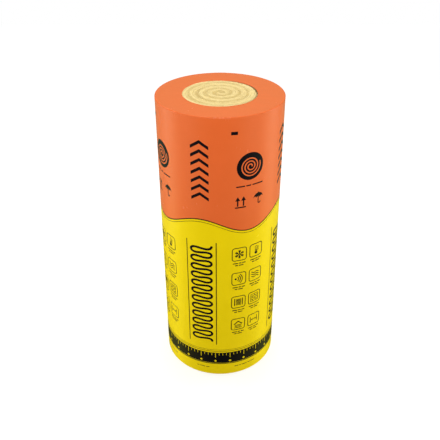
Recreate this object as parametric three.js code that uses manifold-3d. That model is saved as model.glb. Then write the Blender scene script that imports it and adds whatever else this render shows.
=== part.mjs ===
// Glass-wool insulation roll in a shrunk film sleeve, standing on its end.
// Millimetres, +Z up. The origin is the middle of the foot, on the plane the roll stands on.
//
// Two pieces make the roll:
//   wool_mat     one long mat wound on itself, with the crease between its turns open on both ends
//   film_sleeve  a printed film wrapped round it, lapped down the back and shrunk in over both
//                ends, where it leaves a round opening that shows the wool
import * as THREE from "three";
import { mergeVertices } from "three/addons/utils/BufferGeometryUtils.js";
import Module from "manifold-3d";

// Roll
const matWidth = 1200; // the mat's width is the height of the standing roll
const rollDiameter = 483; // over the film
const edgeRadius = 4; // rounding of the roll's two end edges, over the film

// Film sleeve
const filmThickness = 0.12;
const filmClearance = 0.3; // between the film and the wool, all round
const openingDiameter = 280; // left by the shrunk film in the middle of each end
const lapWidth = 40; // double layer where the film is welded to itself

// Wound mat
const turnPitch = 28; // thickness of the mat as wound, pressed to under a third of its free thickness
const eyeRadius = 15; // where the first turn starts
const creaseWidth = 16; // mouth of the crease between two turns
const creaseDepth = 10;
const lipDrop = 0.22; // share of the crease's depth reached halfway down its rounded lip
const creaseOpen = 3; // how far the crease's cutter stands out of the end face

// Facets
const roundSteps = 96; // round the roll
const edgeSteps = 4; // over one rounded end edge
const stepsPerTurn = 40; // along the crease

const rollHeight = matWidth + 2 * (filmThickness + filmClearance);
const rollRadius = rollDiameter / 2;
const matInset = filmThickness + filmClearance;

const wasm = await Module();
wasm.setup();

// A closed mesh as a manifold-3d solid, turned to face out if its winding faces in.
function solidOf(geometry) {
  const bare = geometry.clone();
  bare.deleteAttribute("normal");
  bare.deleteAttribute("uv");
  const merged = mergeVertices(bare, 1e-4);
  const vertProperties = new Float32Array(merged.attributes.position.array);
  const triVerts = new Uint32Array(merged.index.array);
  const made = new wasm.Manifold(new wasm.Mesh({ numProp: 3, vertProperties, triVerts }));
  if (made.volume() > 0) return made;
  for (let i = 0; i < triVerts.length; i += 3) {
    [triVerts[i + 1], triVerts[i + 2]] = [triVerts[i + 2], triVerts[i + 1]];
  }
  return new wasm.Manifold(new wasm.Mesh({ numProp: 3, vertProperties, triVerts }));
}

function geometryOf(solid) {
  const mesh = solid.getMesh();
  const geometry = new THREE.BufferGeometry();
  geometry.setAttribute("position", new THREE.BufferAttribute(mesh.vertProperties, 3));
  geometry.setIndex(new THREE.BufferAttribute(mesh.triVerts, 1));
  geometry.computeVertexNormals();
  return geometry;
}

// A closed outline of (radius, height) points turned round the roll's axis.
function turned(outline) {
  return new THREE.LatheGeometry(outline, roundSteps).rotateX(Math.PI / 2);
}

// The roll's skin at a depth below the film's outer face: from endRadius on the lower end,
// round the lower edge, up the side and over the upper edge to endRadius on the upper end.
function skin(inset, endRadius) {
  const side = rollRadius - inset;
  const bend = edgeRadius - inset;
  const outline = [new THREE.Vector2(endRadius, inset)];
  for (let i = 0; i <= edgeSteps; i++) {
    const turn = (i / edgeSteps) * (Math.PI / 2);
    const radius = side - bend + bend * Math.sin(turn);
    outline.push(new THREE.Vector2(radius, edgeRadius - bend * Math.cos(turn)));
  }
  const upper = outline.map((p) => new THREE.Vector2(p.x, rollHeight - p.y)).reverse();
  return [...outline, ...upper];
}

// The line along which the turns of the mat part: an even spiral in a level plane.
class TurnLine extends THREE.Curve {
  constructor(height) {
    super();
    this.height = height;
    this.turns = (rollRadius + creaseWidth / 2 - eyeRadius) / turnPitch;
  }

  getPoint(t, target = new THREE.Vector3()) {
    const angle = t * this.turns * 2 * Math.PI;
    const radius = eyeRadius + (turnPitch * angle) / (2 * Math.PI);
    return target.set(radius * Math.cos(angle), radius * Math.sin(angle), this.height);
  }

  // Even steps of angle, so that the small inner turns stay round.
  getUtoTmapping(u) {
    return u;
  }
}

// The crease between the turns, as the solid that opens it in one end face.
// Down points from the end face into the wool: -1 on the upper end, 1 on the lower.
function creaseCutter(height, down) {
  const half = creaseWidth / 2;
  const line = new TurnLine(height);
  // The swept section's first axis points down, and its second across the crease.
  const section = new THREE.Shape(
    [
      [-creaseOpen, -half],
      [0, -half],
      [creaseDepth * lipDrop, -half / 2],
      [creaseDepth, 0],
      [creaseDepth * lipDrop, half / 2],
      [0, half],
      [-creaseOpen, half],
    ].map(([depth, across]) => new THREE.Vector2(-down * depth, across)),
  );
  return new THREE.ExtrudeGeometry(section, {
    steps: Math.round(line.turns * stepsPerTurn),
    extrudePath: line,
    bevelEnabled: false,
  });
}

function woolMat() {
  const axis = (height) => new THREE.Vector2(0, height);
  const ends = skin(matInset, 0).slice(1, -1);
  const whole = solidOf(turned([axis(matInset), ...ends, axis(rollHeight - matInset)]));
  const upper = solidOf(creaseCutter(rollHeight - matInset, -1));
  const lower = solidOf(creaseCutter(matInset, 1));
  return geometryOf(whole.subtract(upper).subtract(lower));
}

// The second layer of the lap, welded to the first and proud of it by the film's thickness.
function lapStrip() {
  const low = edgeRadius;
  const high = rollHeight - edgeRadius;
  const inner = rollRadius - filmThickness / 2;
  const outer = rollRadius + filmThickness;
  const corners = [
    [inner, low],
    [outer, low],
    [outer, high],
    [inner, high],
    [inner, low],
  ];
  const band = solidOf(turned(corners.map(([radius, height]) => new THREE.Vector2(radius, height))));
  const window = new THREE.BoxGeometry(lapWidth, rollRadius, rollHeight);
  window.translate(0, rollRadius, rollHeight / 2);
  return band.intersect(solidOf(window));
}

function filmSleeve() {
  const opening = openingDiameter / 2;
  const outside = skin(0, opening);
  const inside = skin(filmThickness, opening).reverse();
  const tube = solidOf(turned([...outside, ...inside, outside[0]]));
  return geometryOf(tube.add(lapStrip()));
}

function piece(name, geometry, color, roughness) {
  const material = new THREE.MeshStandardMaterial({ color, roughness, metalness: 0 });
  const mesh = new THREE.Mesh(geometry, material);
  mesh.name = name;
  return mesh;
}

const roll = new THREE.Group();
roll.name = "insulation_roll";
roll.add(piece("wool_mat", woolMat(), 0xeed693, 1.0));
roll.add(piece("film_sleeve", filmSleeve(), 0xf0d21c, 0.35));

export default roll;
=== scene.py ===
"""Insulation roll: a mat of glass wool wound on itself, in a printed film sleeve.

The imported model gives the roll's size and place. Its pieces are designed in millimetres and made
in metres, +Z up, with the front at -Y. Angles round the film run from the front to the right, and
those in the wool from the right to the back.
"""

import math

import bpy
import numpy as np
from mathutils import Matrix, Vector
from mathutils.geometry import delaunay_2d_cdt


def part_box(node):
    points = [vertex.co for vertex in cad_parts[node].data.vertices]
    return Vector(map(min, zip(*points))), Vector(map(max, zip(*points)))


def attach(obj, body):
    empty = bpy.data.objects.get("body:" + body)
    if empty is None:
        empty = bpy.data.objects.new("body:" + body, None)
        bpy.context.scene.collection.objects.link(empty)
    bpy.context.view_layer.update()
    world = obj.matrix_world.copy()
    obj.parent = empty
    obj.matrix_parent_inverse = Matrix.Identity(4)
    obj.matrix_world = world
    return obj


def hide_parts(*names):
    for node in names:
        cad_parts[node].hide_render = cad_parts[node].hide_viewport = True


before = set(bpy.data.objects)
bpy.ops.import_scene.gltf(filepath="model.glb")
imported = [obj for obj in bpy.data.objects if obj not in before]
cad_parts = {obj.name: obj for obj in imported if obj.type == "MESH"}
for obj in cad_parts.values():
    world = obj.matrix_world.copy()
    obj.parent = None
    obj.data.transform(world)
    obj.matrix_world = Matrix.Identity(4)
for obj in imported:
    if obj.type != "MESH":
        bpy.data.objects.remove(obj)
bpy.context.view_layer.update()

MM = 0.001  # metres
FULL_TURN = 2 * math.pi

# The roll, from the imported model
FILM_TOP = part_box("film_sleeve")[1]
ROLL_RADIUS = FILM_TOP.x / MM
ROLL_HEIGHT = FILM_TOP.z / MM

# The film sleeve
EDGE_RADIUS = 4.0  # rounding of the two end edges
OPENING_RADIUS = 139.4
OPENING_OVAL = 0.7  # the openings are this much wider at the sides, and narrower at front and back
HEM_WANDER, HEM_WAVES = 0.6, 23  # how far a hem strays besides, and how often round the roll
WANDER_REACH = 25.0  # over this width the film and the wool stray with the hem
END_RISE = 0.5  # how far the wool lifts the film at the upper opening
FOOT_LIFT = 0.9  # how far the film at the lower opening keeps off the floor
HEM_RADIUS = 0.4  # the film's edge curls in round the opening
HEM_TAIL = 8.0  # how far the curled edge runs back under the film
LAP_WIDTH = 40.0  # double layer down the back
LAP_STEP = 0.3  # how proud the upper layer stands
LAP_EASE = 5.0  # over this width the film rises over the layer below
WELD_INSET = 9.0  # the weld line lies this far inside the lap's free edge
WELD_WIDTH = 2.4
WELD_DEPTH = 0.22
INK_LIFT = 0.1  # how far the black ink stands off the film

# Relief of the film: height, how many round the roll, length of one along it, seed
SWELLS = ((0.35, 7, 260, 11), (0.16, 13, 110, 12))  # slow, from the wool behind
GATHERS = ((0.2, 96, 60, 13), (0.1, 41, 90, 14))  # where the film shrinks in over an end
SWELL_FADE, GATHER_FADE = 40.0, 6.0  # lengths over which they die out, before the edge and the hem

# Where handling rubs the film, and where its paler rubbed colour also paints a highlight along the rounded
# edges
RUB_AND_HIGHLIGHT_REACH = (2.0, 10.0)  # from the middle of a rounded edge, full up to the first and gone at the second
RUB_AND_HIGHLIGHT_PATCHES, RUB_AND_HIGHLIGHT_LEAST = 31, 0.35  # how many patches round the roll, and the rub between them
RUB_AND_HIGHLIGHT_GRAINS, RUB_AND_HIGHLIGHT_GRAIN, RUB_AND_HIGHLIGHT_GRAIN_LENGTH = 211, 0.15, 3.0

# Mesh of the film
REPEATS = 4  # of the print round the roll
SIDE_STEP = 8.0
RIM_STEPS = 120  # on one repeat of the print, where the side meets the rounded edge
EDGE_ROWS, RING_ROWS, HEM_ROWS, TAIL_ROWS = 6, 22, 5, 2
LAYOUT_MARGIN = 16.0  # round the parts of the layout for baked textures

# The wound mat
TURN_PITCH = 31.7
EYE_RADIUS = 8.1  # radius of the crease where its first whole turn starts
EYE_SHIFT = (1.7, 0.4)  # to the right and back; the mat isn't wound quite centrally
CREASE_DEPTH = 2.8
CREASE_LIP = 4.6  # how quickly the lips of a crease round off
CREASE_OPENS = (-2.6, -0.6)  # radians before its first whole turn, over which it opens
MAT_COLUMNS = 240  # round one turn
MAT_ROWS = 20  # across one turn
WALL_ROWS = 8
SPLIT_WIDTH, SPLIT_DEPTH = 1.6, 2.2  # where the mat has begun to part in its middle
SPLIT_STRAY, SPLIT_STRAY_LENGTH = 0.1, 120  # share of a turn, and over what length of mat
SPLIT_LENGTH, SPLIT_OPENS = 150, (-0.6, 0.3)  # how long one is, and between which noises it opens
LIP_SHARE = 0.14  # the layers round off over this share of a turn, next to each crease
HALFWAY = (0.3, 0.7)  # shares across a turn, between which its inner crease gives way to its outer one
WOOL_CLEARANCE = 2.0  # the wool's side keeps this far inside the film
END_BULGE = 2.2  # how far the upper end swells in the opening
HEM_BULGE = 0.9  # and close to the hem
BULGE_POWER = 4  # how flat the swell is in its middle
UNDER_HEM = 0.5  # clear space between the curled film and the wool below it
UNDER_FILM = 1.0  # and farther out, where the film lies flat
HEM_FIT = 1.6  # over this width the wool drops to pass below the hem
TAIL_FIT = (1.0, 12.0)  # past the curled film, where the wool begins to meet the flat film, and does
HEM_PRESS, PRESS_WIDTH = 0.85, 12.0  # how far the hem presses the creases shut, and how far from it
HEM_MARGIN = 4.0  # just inside the hem
FOOT_GAP = 0.3  # the lower end's wool keeps off the floor
SLACK_DEPTH, SLACK_WIDTH, SLACK_EDGE = 9.0, 7.5, 1.0  # where the upper end has sunk away from the hem
SLACKS = ((1.0, -60.0, 42.0, 26.0), (0.3, -105.0, 85.0, 30.0))  # share, from and to in degrees, fade

# Relief of the wool: height, width of one, length of one, own seed
CREASE_WANDERS = ((1.5, 95, 1, 31), (0.7, 38, 1, 32))
WANDER_BEGINS = 2.0  # radians either side of the first whole turn's start
LAYERS = ((1.0, 2.6, 75, 1), (0.6, 1.6, 34, 2))
LAYER_DEPTH = 0.6
TUFTS = ((0.4, 7, 7, 6), (0.25, 3.5, 3.5, 7))
LEVELS = ((1.1, 260, 1, 5),)  # the turns don't all end level
UPPER_SEED, LOWER_SEED = 40, 60

# Painted shade and tone of the wool, from 0 to 1: painted shade in the creases, grooves, splits, low layers
# and eye, and random tone in the patches
CREASE_PAINTED_SHADE = 0.55  # painted shade, from the middle of a turn to the crease
GROOVE_PAINTED_SHADE = 0.2
SPLIT_PAINTED_SHADE = 0.45
LAYER_PAINTED_SHADE = 0.16
INNER_CREASE_PAINTED_SHADE, INNER_CREASE_SHADE_REACH = 0.8, (18.0, 46.0)  # the painted shade in the creases is stronger over the innermost turns
EYE_PAINTED_SHADE, EYE_SHADE_PLACE, EYE_SHADE_REACH = 0.5, (3.0, -2.0), (2.0, 12.0)
RIM_TONE, RIM_REACH = 0.1, (98.0, 120.0)  # paler from here out
PATCHES = ((0.14, 6, 90, 8),)

# Strands that lie loose on the wool, on each end
STRANDS = 1900
STRAND_POINTS = 6
STRAND_RADIUS = (0.09, 0.2)
STRAND_LENGTH = (7.0, 26.0)
STRAND_AIM = 0.55  # how far they turn from the run of the turns, in radians
STRAND_BEND = 0.05  # radians a millimetre
STRAND_REST, STRAND_LIFT = 0.12, (1.4, 0.35)  # how far they lie off the wool, and their ends' lift
STRAND_DIP = 0.8  # how far one follows a crease down
STRAND_REACH = 2.0  # they keep this far inside the hem
STRAND_TAPER = 0.7  # of their thickness, towards their ends


# ---------------------------------------------------------------- shaping helpers

def ease(x, low, high):
    """0 up to low, 1 from high on, and smooth in between."""
    t = np.clip((x - low) / (high - low), 0, 1)
    return t * t * (3 - 2 * t)


def between(x, start, end, fade):
    """1 between start and end, with a smooth fade inside each of them, and 0 outside."""
    return ease(x, start, start + fade) * (1 - ease(x, end - fade, end))


def noise(x, y, seed, columns=251, rows=257):
    """Smooth noise from -1 to 1, one feature a unit, that comes again after so many columns and rows."""
    table = np.random.default_rng(seed).uniform(-1, 1, (columns, rows))
    x, y = np.broadcast_arrays(np.asarray(x, float), np.asarray(y, float))
    i, j = np.floor(x).astype(int), np.floor(y).astype(int)
    u, v = x - i, y - j
    u, v = u * u * (3 - 2 * u), v * v * (3 - 2 * v)
    i0, i1, j0, j1 = i % columns, (i + 1) % columns, j % rows, (j + 1) % rows
    low = table[i0, j0] * (1 - u) + table[i1, j0] * u
    high = table[i0, j1] * (1 - u) + table[i1, j1] * u
    return low * (1 - v) + high * v


def film_noise(share, along, waves):
    """Noises that close round the roll, as (height, how many round it, length of one, seed)."""
    return sum(height * noise(share * count, along / length, seed, count)
               for height, count, length, seed in waves)


def wool_noise(x, y, seed, waves):
    """Noises over an end of the wool, as (height, width of one, length of one, own seed)."""
    return sum(height * noise(x / width, y / length, seed + own) for height, width, length, own in waves)


def make_mesh(name, points, faces, materials=(), face_materials=None):
    """An object with these points, in millimetres, and faces."""
    mesh = bpy.data.meshes.new(name)
    mesh.from_pydata((np.asarray(points) * MM).tolist(), [], faces)
    for material in materials:
        mesh.materials.append(material)
    if face_materials is not None:
        mesh.polygons.foreach_set("material_index", np.asarray(face_materials, np.int32))
    mesh.polygons.foreach_set("use_smooth", np.ones(len(mesh.polygons), bool))
    mesh.update()
    made = bpy.data.objects.new(name, mesh)
    bpy.context.scene.collection.objects.link(made)
    return made


def corner_points(mesh):
    """For each corner of each face, the number of its point."""
    numbers = np.empty(len(mesh.loops), np.int32)
    mesh.loops.foreach_get("vertex_index", numbers)
    return numbers


def face_largest(mesh, corner_values):
    """For each corner, the largest of the values at its face's corners."""
    starts, totals = np.empty((2, len(mesh.polygons)), np.int32)
    mesh.polygons.foreach_get("loop_start", starts)
    mesh.polygons.foreach_get("loop_total", totals)
    return np.repeat(np.maximum.reduceat(corner_values, starts), totals)


def mark_points(made, name, values):
    """A number at each point, for the materials to read."""
    attribute = made.data.attributes.new(name, "FLOAT", "POINT")
    attribute.data.foreach_set("value", values.astype(np.float32))


def add_layout(made, name, places):
    """A flat layout, from a place for each corner."""
    made.data.uv_layers.new(name=name).data.foreach_set("uv", places.ravel())


# ---------------------------------------------------------------- the film's surface

HALF_SIDE = ROLL_HEIGHT / 2 - EDGE_RADIUS
EDGE_LENGTH = EDGE_RADIUS * math.pi / 2
RING_LENGTH = ROLL_RADIUS - EDGE_RADIUS - OPENING_RADIUS - HEM_RADIUS
HEM_LENGTH = HEM_RADIUS * math.pi
EDGE_START = HALF_SIDE
RING_START = EDGE_START + EDGE_LENGTH
HEM_START = RING_START + RING_LENGTH
TAIL_START = HEM_START + HEM_LENGTH
FILM_END = TAIL_START + HEM_TAIL
FREE_EDGE = math.pi + LAP_WIDTH / 2 / ROLL_RADIUS  # angle of the lap's free edge


def film_profile(along):
    """Radius, height and outward direction of the bare sleeve, along it from mid-height."""
    a = np.abs(along)
    edge = np.clip(a - EDGE_START, 0, EDGE_LENGTH) / EDGE_RADIUS
    ring = np.clip(a - RING_START, 0, RING_LENGTH)
    hem = np.clip(a - HEM_START, 0, HEM_LENGTH) / HEM_RADIUS
    tail = np.maximum(a - TAIL_START, 0)
    turn = edge + hem  # how far the outward direction has turned from level
    radius = ROLL_RADIUS - EDGE_RADIUS * (1 - np.cos(edge)) - ring - HEM_RADIUS * np.sin(hem) + tail
    height = np.minimum(a, EDGE_START) + EDGE_RADIUS * np.sin(edge) - HEM_RADIUS * (1 - np.cos(hem))
    height = height + END_RISE * ease(along, RING_START, HEM_START)
    height = height - FOOT_LIFT * ease(-along, EDGE_START, RING_START)
    side = np.sign(along)
    return radius, ROLL_HEIGHT / 2 + side * height, np.cos(turn), side * np.sin(turn)


def film_relief(turned, along):
    """How far the shrunk film stands off the bare sleeve, turned round from the lap's free edge."""
    share = turned / FULL_TURN
    from_free_edge = (FULL_TURN - turned) * ROLL_RADIUS
    a = np.abs(along)
    swell = film_noise(share, along, SWELLS)
    swell = swell * (1 - ease(a, HALF_SIDE - SWELL_FADE, HALF_SIDE + EDGE_RADIUS))
    gather = film_noise(share, a, GATHERS)
    gather = gather * ease(a, RING_START, HEM_START) * (1 - ease(a, HEM_START - GATHER_FADE, HEM_START))
    # The lap's upper layer rises over the lower one and ends in a step.
    lap = LAP_STEP * (1 - ease(from_free_edge, LAP_WIDTH, LAP_WIDTH + LAP_EASE))
    weld = -WELD_DEPTH * np.exp(-(((from_free_edge - WELD_INSET) / (WELD_WIDTH / 2)) ** 2))
    return swell + gather + lap + weld


def hem_stray(angle, side):
    """How far outward an opening's hem strays; the side is 1 for the upper end and -1 for the lower."""
    share = (angle - FREE_EDGE) / FULL_TURN % 1
    own_row = side * 3.5  # of the noise, for each end
    return HEM_WANDER * noise(share * HEM_WAVES, own_row, 15, HEM_WAVES) - OPENING_OVAL * np.cos(2 * angle)


def film_point(turned, along, lift=0.0):
    radius, height, out, up = film_profile(along)
    off = film_relief(turned, along) + lift
    angle = turned + FREE_EDGE
    near_hem = ease(np.abs(along), HEM_START - WANDER_REACH, HEM_START)
    r = radius + out * off + hem_stray(angle, np.sign(along)) * near_hem
    return np.stack([r * np.sin(angle), -r * np.cos(angle), height + up * off], -1)


def film_normal(turned, along):
    small_turn, small_step = 0.002, 0.2
    across = film_point(turned + small_turn, along) - film_point(turned - small_turn, along)
    up = film_point(turned, along + small_step) - film_point(turned, along - small_step)
    normal = np.cross(across, up)
    return normal / np.linalg.norm(normal, axis=-1, keepdims=True)


# ---------------------------------------------------------------- print: shapes

TILE = FULL_TURN * ROLL_RADIUS / REPEATS  # width of one repeat of the print
LOW, HIGH = EDGE_RADIUS, ROLL_HEIGHT - EDGE_RADIUS  # the print plate covers the side
NEAR = 0.01  # points this near to a border are on it
YELLOW, ORANGE, BLACK, CLEAR = range(4)


class Plate:
    """The shapes of one repeat of the print, later ones over earlier ones, as (ink, outline)."""

    def __init__(self):
        self.shapes = []

    def add(self, ink, outline):
        points = np.round(np.asarray(outline, float), 3)
        points[:, 0] = np.clip(points[:, 0], -TILE / 2, TILE / 2)
        x, z = points.T
        area = np.sum(x * np.roll(z, -1) - np.roll(x, -1) * z)
        self.shapes.append((ink, points if area > 0 else points[::-1]))

    def stamp(self, icon, x, z, size):
        for ink, outline in icon():
            self.add(ink, moved(outline, x, z, size))

    def dashes(self, x, z, lengths, height, gap):
        """A row of bars, centred on x, z."""
        at = -(sum(lengths) + gap * (len(lengths) - 1)) / 2
        for length in lengths:
            middle = at + length / 2
            self.add(BLACK, box(x + middle, z, length, height))
            at += length + gap


def box(x, z, width, height):
    w, h = width / 2, height / 2
    return [(x - w, z - h), (x + w, z - h), (x + w, z + h), (x - w, z + h)]


def arc(x, z, radius, start, end, steps):
    """Points on an arc, angles in degrees from +x."""
    turns = np.radians(np.linspace(start, end, steps + 1))
    return [(x + radius * math.cos(t), z + radius * math.sin(t)) for t in turns]


def disc(x, z, radius, steps=32):
    return arc(x, z, radius, 0, 360 - 360 / steps, steps - 1)


def round_box(x, z, width, height, corner, steps=5):
    w, h = width / 2 - corner, height / 2 - corner
    outline = []
    for i, (sx, sz) in enumerate([(1, 1), (-1, 1), (-1, -1), (1, -1)]):
        outline += arc(x + sx * w, z + sz * h, corner, 90 * i, 90 * i + 90, steps)
    return outline


def ribbon(points, width, caps=0):
    """The outline of a smooth line of that width, with round ends of so many steps."""
    p = np.asarray(points, float)
    d = np.gradient(p, axis=0)
    d /= np.linalg.norm(d, axis=1, keepdims=True)
    side = np.stack([-d[:, 1], d[:, 0]], 1) * width / 2
    left, right = (p + side).tolist(), (p - side).tolist()[::-1]
    if caps:
        first, last = (math.degrees(math.atan2(*d[i][::-1])) for i in (0, -1))
        left += arc(*p[-1], width / 2, last + 90, last - 90, caps)[1:-1]
        right += arc(*p[0], width / 2, first - 90, first - 270, caps)[1:-1]
    return left + right


def moved(outline, x, z, size=1.0, turn=0.0):
    """An outline scaled, turned by degrees and moved."""
    t = math.radians(turn)
    c, s = math.cos(t) * size, math.sin(t) * size
    return [(x + px * c - pz * s, z + px * s + pz * c) for px, pz in outline]


def in_black(*outlines):
    return [(BLACK, outline) for outline in outlines]


# ---------------------------------------------------------------- print: pictograms
# Each is a list of (ink, outline) in a square of side 2 round the origin.

LINE = 0.155  # weight of a line
CAPS = 4  # steps round its ends


def snowflake():
    length, barb, feet = 0.86, 0.2, (0.36, 0.6)
    arm = [ribbon([(0, 0.06), (0, length)], LINE)]
    for side in (-1, 1):
        arm += [ribbon([(0, foot), (side * barb, foot + barb)], LINE * 0.9) for foot in feet]
    return in_black(*(moved(part, 0, 0, 1, 60 * i) for i in range(6) for part in arm))


def thermometer():
    stem, bulb, marks = 0.17, 0.32, (-0.1, 0.14, 0.38, 0.62)
    return [
        (BLACK, disc(0, -0.55, bulb, 24)),
        (BLACK, round_box(0, 0.13, 2 * stem + LINE, 1.5, stem + LINE / 2)),
        (CLEAR, round_box(0, 0.16, 2 * stem - LINE / 2, 1.3, stem - LINE / 4)),
        (BLACK, box(0, -0.2, LINE, 0.6)),
        *in_black(*(box(0.44, z, 0.26, LINE * 0.7) for z in marks)),
    ]


def sound():
    source, spread, reaches = -0.62, 48, (0.55, 0.9, 1.25)
    waves = [ribbon(arc(source, 0, reach, -spread, spread, 12), LINE, CAPS) for reach in reaches]
    return in_black(disc(source, 0, 0.2, 16), *waves)


def ripple(half, z, swing, quickness, shape=np.sin):
    """A line from side to side that goes up and down."""
    x = np.linspace(-half, half, 25)
    return np.stack([x, z + swing * shape(x * quickness)], 1)


def airflow():
    return in_black(*(ribbon(ripple(0.78, z, 0.13, 6.2), LINE, CAPS) for z in (0.46, 0.0, -0.46)))


def batt_line(width, pitch, loops, fullness, steps=20):
    """The looping line that stands for insulation on a drawing, upwards from the origin."""
    t = np.linspace(0, FULL_TURN * loops, loops * steps + 1)
    rise = pitch * t / FULL_TURN + fullness * np.sin(2 * t)
    return np.stack([width / 2 * np.cos(t), rise], 1)


def stud_wall():
    post_x, foot = 0.74, -0.72
    posts = [box(x, 0, LINE * 1.2, 1.6) for x in (-post_x, post_x)]
    line = batt_line(0.92, 0.36, 4, 0.055, 16) + (0, foot)
    return in_black(*posts, ribbon(line, LINE * 0.8, 3))


def bricks():
    courses, height, joint = 4, 0.4, LINE * 0.7
    parts = [box(0, -0.8 + i * height, 1.6 + joint, joint) for i in range(courses + 1)]
    for i in range(courses):
        joints = (-0.8, 0.0, 0.8) if i % 2 else (-0.8, -0.4, 0.4, 0.8)
        parts += [box(x, -0.6 + i * height, joint, height - joint) for x in joints]
    return in_black(*parts)


def gable():
    peak, eave, drop = 0.78, 0.9, 0.02
    inner_eave, inner_drop, inner_peak = eave - 0.2, drop - 0.1, peak - 0.27
    roof = [(-eave, drop), (0, peak), (eave, drop),
            (inner_eave, inner_drop), (0, inner_peak), (-inner_eave, inner_drop)]
    layers = [ribbon(ripple(0.62, z, 0.07, 10, np.cos), LINE * 0.9, 3) for z in (-0.2, -0.52)]
    return in_black(roof, *layers, box(0, -0.84, 1.5, LINE))


def thickness():
    head, end = [(-0.62, 0), (-0.3, 0.24), (-0.3, -0.24)], 0.76
    ends = [box(x, 0, LINE, 1.3) for x in (-end, end)]
    return in_black(*ends, box(0, 0, 0.7, LINE), head, moved(head, 0, 0, 1, 180))


def up_arrows():
    parts = [box(0, -0.82, 1.6, LINE * 1.2)]
    for x in (-0.42, 0.42):
        parts.append(box(x, -0.18, 0.2, 0.9))
        parts.append([(x - 0.36, 0.22), (x + 0.36, 0.22), (x, 0.86)])
    return in_black(*parts)


def umbrella():
    span, foot, hook = 0.82, 0.05, 0.17
    scallop, apart = 0.273, 0.547
    canopy = arc(0, foot, span, 0, 180, 24)
    for i in range(3):
        canopy += arc(apart * (i - 1), foot, scallop, 180, 0, 8)[1:-1 if i == 2 else None]
    handle = [(0, 0.34), (0, 0.0), (0, -0.3), (0, -0.6)] + arc(hook, -0.6, hook, 180, 360, 8)[1:]
    return in_black(canopy, ribbon(handle, LINE, CAPS), box(0, 0.88, LINE, 0.16))


def wound_mat():
    """A disc with a clear spiral in it."""
    first, last, turns, line = 0.1, 0.76, 3.05, 0.09
    t = np.linspace(0, turns * FULL_TURN, 80)
    r = first + (last - first) * t / t[-1]
    spiral = np.stack([r * np.cos(t), r * np.sin(t)], 1)
    return [(BLACK, disc(0, 0, 1, 64)), (CLEAR, ribbon(spiral, line, CAPS))]


# ---------------------------------------------------------------- print: layout
# Places are from the middle of a repeat and from the foot of the roll.

STRIP_X, ICONS_X = 95.0, -96.0
ICON_SIDE = 37.0  # a pair of icons stands this far either side
WAVE_HEIGHT, WAVE_SWING, WAVE_STEPS = 768.0, 27.0, 48
BAND_LOW, BAND_HIGH = 63.0, 129.0


def wave(x, below=0.0):
    """Height of the border between the two colours."""
    return WAVE_HEIGHT - below + WAVE_SWING * np.cos(FULL_TURN * (x - STRIP_X) / TILE)


def fields(plate):
    half = TILE / 2
    plate.add(YELLOW, [(-half, LOW), (half, LOW), (half, HIGH), (-half, HIGH)])
    x = np.linspace(-half, half, WAVE_STEPS + 1)
    plate.add(ORANGE, [*zip(x, wave(x)), (half, HIGH), (-half, HIGH)])


def border_lines(plate):
    x = np.linspace(-TILE / 2, TILE / 2, WAVE_STEPS + 1)
    for below, width in ((0.0, 4.4), (11.0, 2.0)):
        upper, lower = wave(x, below - width / 2), wave(x, below + width / 2)
        plate.add(BLACK, [*zip(x, lower), *zip(x[::-1], upper[::-1])])


def measuring_band(plate):
    """A black band with the marks of a rule along its upper edge."""
    plate.add(BLACK, box(0, (BAND_LOW + BAND_HIGH) / 2, TILE, BAND_HIGH - BAND_LOW))
    for above, width in ((8.0, 2.4), (16.0, 1.6)):
        plate.add(BLACK, box(0, BAND_HIGH + above, TILE, width))
    marks, long_every, edge = 24, 4, 3.0
    diamond, diamond_rise = 9.0, 18.0
    line_rise, line_width = 5.0, 1.6
    for i in range(marks):
        x = (i + 0.5) * TILE / marks - TILE / 2
        long = i % long_every == 1
        length, width = (26.0, 2.6) if long else (13.0, 2.0)
        plate.add(CLEAR, box(x, BAND_HIGH - length / 2 - edge, width, length))
        if long:
            plate.add(CLEAR, moved(box(0, 0, diamond, diamond), x, BAND_LOW + diamond_rise, 1, 45))
    plate.add(CLEAR, box(0, BAND_LOW + line_rise, TILE, line_width))


def insulation_strip(plate):
    """The looping line between two rules, up the yellow field."""
    foot, pitch, loops, width, fullness, weight = 196.0, 40.0, 12, 84.0, 6.6, 10.0
    loop_steps, cap_steps = 24, 6
    rule_aside, rule_weight, rule_longer = 60.0, 3.6, 40.0
    line = batt_line(width, pitch, loops, fullness, loop_steps) + (STRIP_X, foot)
    plate.add(BLACK, ribbon(line, weight, cap_steps))
    height = pitch * loops
    for side in (-1, 1):
        rule = box(STRIP_X + side * rule_aside, foot + height / 2, rule_weight, height + rule_longer)
        plate.add(BLACK, rule)


def icon_block(plate):
    """Two columns of framed pictograms, each over two rows of bars."""
    icons = [snowflake, thermometer, sound, airflow, stud_wall, bricks, gable, thickness]
    top, row_height, frame_size, corner, line, icon_share = 636.0, 118.0, 62.0, 12.0, 3.4, 0.36
    bar_rows = ((42, (22, 10, 14)), (52, (12, 20)))
    bar_height, bar_gap = 4.4, 3.4
    inside = frame_size - 2 * line
    for i, icon in enumerate(icons):
        x = ICONS_X + (ICON_SIDE if i % 2 else -ICON_SIDE)
        z = top - row_height * (i // 2)
        plate.add(BLACK, round_box(x, z, frame_size, frame_size, corner))
        plate.add(CLEAR, round_box(x, z, inside, inside, corner - line))
        plate.stamp(icon, x, z, frame_size * icon_share)
        for below, lengths in bar_rows:
            plate.dashes(x, z - below, lengths, bar_height, bar_gap)


def handling_marks(plate):
    """Two pictograms, a row of bars over them, and a large disc on top."""
    icon_z, icon_size = 868.0, 27.0
    bars_z, bars, bar_height, bar_gap = 932.0, (34, 20, 46), 5.0, 5.0
    disc_z, disc_size = 1008.0, 54.0
    for icon, side in ((up_arrows, -1), (umbrella, 1)):
        plate.stamp(icon, ICONS_X + side * ICON_SIDE, icon_z, icon_size)
    plate.stamp(wound_mat, ICONS_X, disc_z, disc_size)
    plate.dashes(ICONS_X, bars_z, bars, bar_height, bar_gap)


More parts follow.
